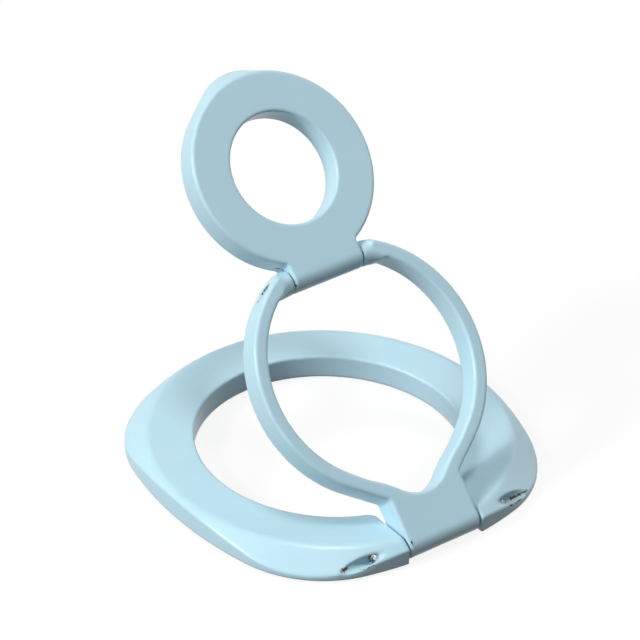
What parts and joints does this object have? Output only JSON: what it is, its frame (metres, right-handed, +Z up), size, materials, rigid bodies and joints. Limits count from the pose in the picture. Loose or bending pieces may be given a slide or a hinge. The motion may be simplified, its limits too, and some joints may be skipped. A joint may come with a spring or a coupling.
{
  "type": "phone ring holder",
  "caption": "Phone ring holder: a bevelled magnetic base ring with a large round opening, a hinged pear-shaped finger ring and a hinged pull disc, used as a grip or a stand.",
  "frame": {"origin": "on the underside of the pad, which lies on the phone, at the centre of the base's round hole", "axes": "+Z up out of the phone, both hinge axes along X, the base hinge on the -Y side"},
  "size_m": [0.0582, 0.0579, 0.0567],
  "materials": {
    "blue_paint": "satin light-blue paint on cast zinc alloy",
    "pad": "matt grey",
    "steel_strip": "plain rolled strip",
    "pin_steel": "drawn steel",
    "sleeve_steel": "spring steel",
    "magnet_nickel": "nickel plated"
  },
  "bodies": {
    "base": {"base_ring": "blue_paint", "pad": "pad", "backing_strip": "steel_strip", "base_hinge_pin": "pin_steel", "magnet_01": "magnet_nickel", "magnet_02": "magnet_nickel", "magnet_03": "magnet_nickel", "magnet_04": "magnet_nickel", "magnet_05": "magnet_nickel", "magnet_06": "magnet_nickel", "magnet_07": "magnet_nickel", "magnet_08": "magnet_nickel", "magnet_09": "magnet_nickel", "magnet_10": "magnet_nickel", "magnet_11": "magnet_nickel", "magnet_12": "magnet_nickel", "magnet_13": "magnet_nickel", "magnet_14": "magnet_nickel"},
    "ring": {"finger_ring": "blue_paint", "base_hinge_sleeve": "sleeve_steel", "disc_hinge_pin": "pin_steel"},
    "disc": {"disc": "blue_paint", "disc_hinge_sleeve": "sleeve_steel"}
  },
  "joints": [
    {"name": "ring_hinge", "type": "hinge", "parent": "base", "child": "ring", "pos_m": [0, -0.0269, 0.0023], "axis": [1, 0, 0], "range_deg": [-39.5, 134.5]},
    {"name": "disc_hinge", "type": "hinge", "parent": "ring", "child": "disc", "pos_m": [0, 0.00345, 0.03318], "axis": [1, 0, 0], "range_deg": [0, 181.6]}
  ]
}
